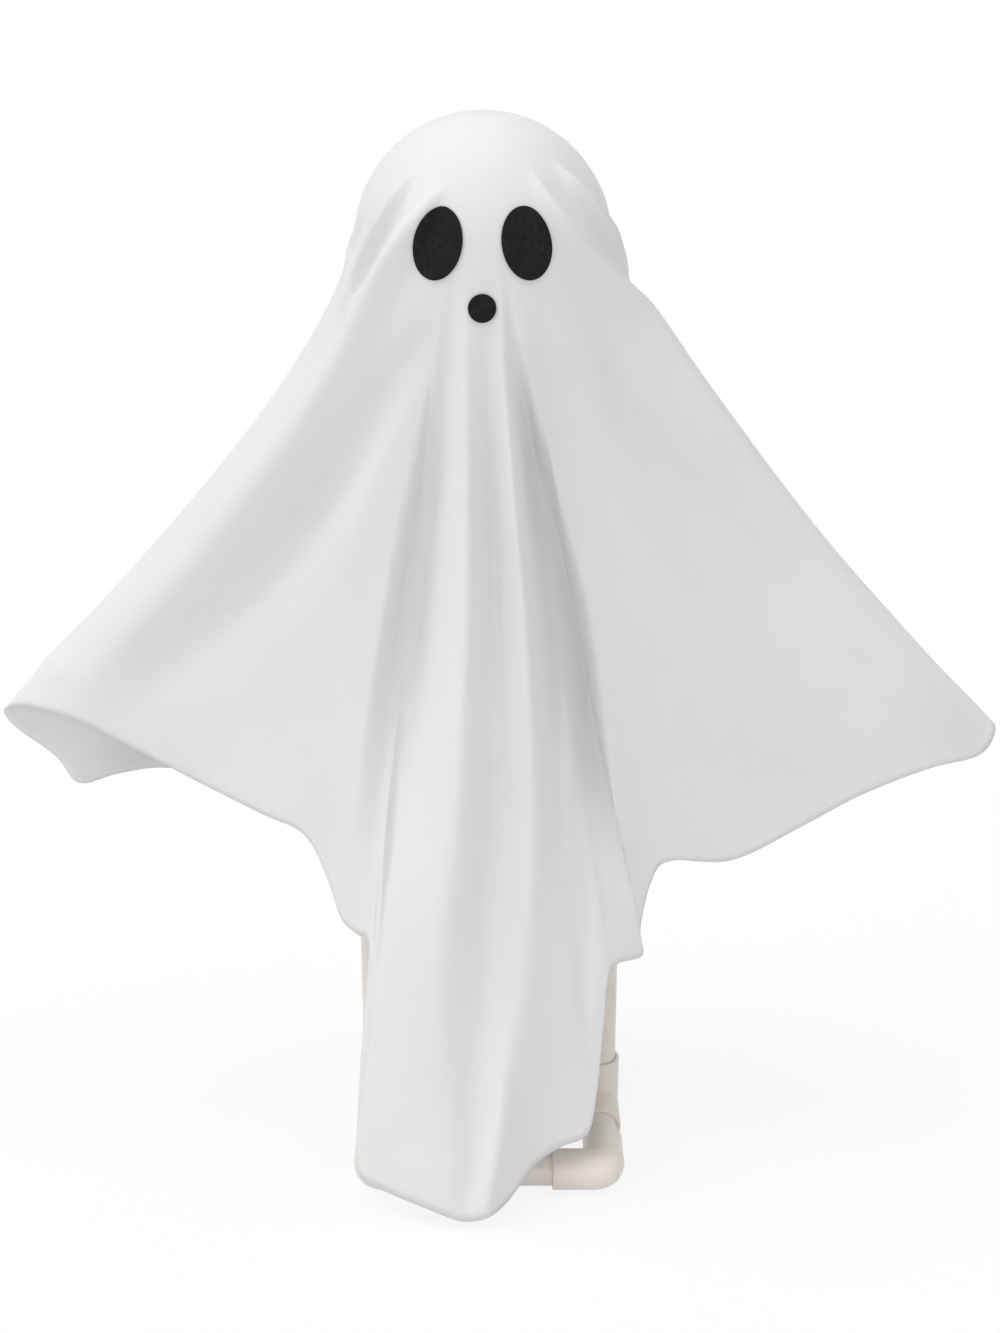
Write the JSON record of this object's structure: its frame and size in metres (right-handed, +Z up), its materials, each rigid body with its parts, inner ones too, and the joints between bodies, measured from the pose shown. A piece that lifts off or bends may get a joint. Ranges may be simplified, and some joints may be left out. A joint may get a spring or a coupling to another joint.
{
  "type": "ghost decoration",
  "caption": "Free-standing draped sheet ghost: one white cloth over a ball head and two sloping arms on a push-fit pipe stand, with felt eyes and mouth.",
  "frame": {"origin": "on the floor, midway between the two uprights of the stand", "axes": "+Z up, -Y the front with the face, +X towards the right as seen from the front"},
  "size_m": [0.8072, 0.3293, 0.849],
  "materials": {
    "cloth": "matt white jersey",
    "felt": "matt black felt",
    "pvc": "semi-gloss cream PVC",
    "foam": "matt white expanded foam"
  },
  "bodies": {
    "stand": {"head_ball": "foam", "neck_pipe": "pvc", "neck_tee": "pvc", "crossbar_pipe_left": "pvc", "crossbar_pipe_right": "pvc", "shoulder_tee_left": "pvc", "shoulder_tee_right": "pvc", "shoulder_nipple_left": "pvc", "shoulder_nipple_right": "pvc", "arm_elbow_left": "pvc", "arm_elbow_right": "pvc", "arm_pipe_left": "pvc", "arm_pipe_right": "pvc", "arm_cap_left": "pvc", "arm_cap_right": "pvc", "upright_pipe_left": "pvc", "upright_pipe_right": "pvc", "base_tee_left": "pvc", "base_tee_right": "pvc", "base_elbow_front_left": "pvc", "base_elbow_front_right": "pvc", "base_elbow_back_left": "pvc", "base_elbow_back_right": "pvc", "base_side_pipe_front_left": "pvc", "base_side_pipe_front_right": "pvc", "base_side_pipe_back_left": "pvc", "base_side_pipe_back_right": "pvc", "base_front_pipe": "pvc", "base_back_pipe": "pvc"},
    "draped_sheet": {"sheet": "cloth", "left_eye": "felt", "right_eye": "felt", "mouth": "felt"}
  },
  "joints": [
    {"name": "sheet_lift", "type": "slide", "parent": "stand", "child": "draped_sheet", "axis": [0, 0, 1], "range_m": [0, 0.86]}
  ]
}
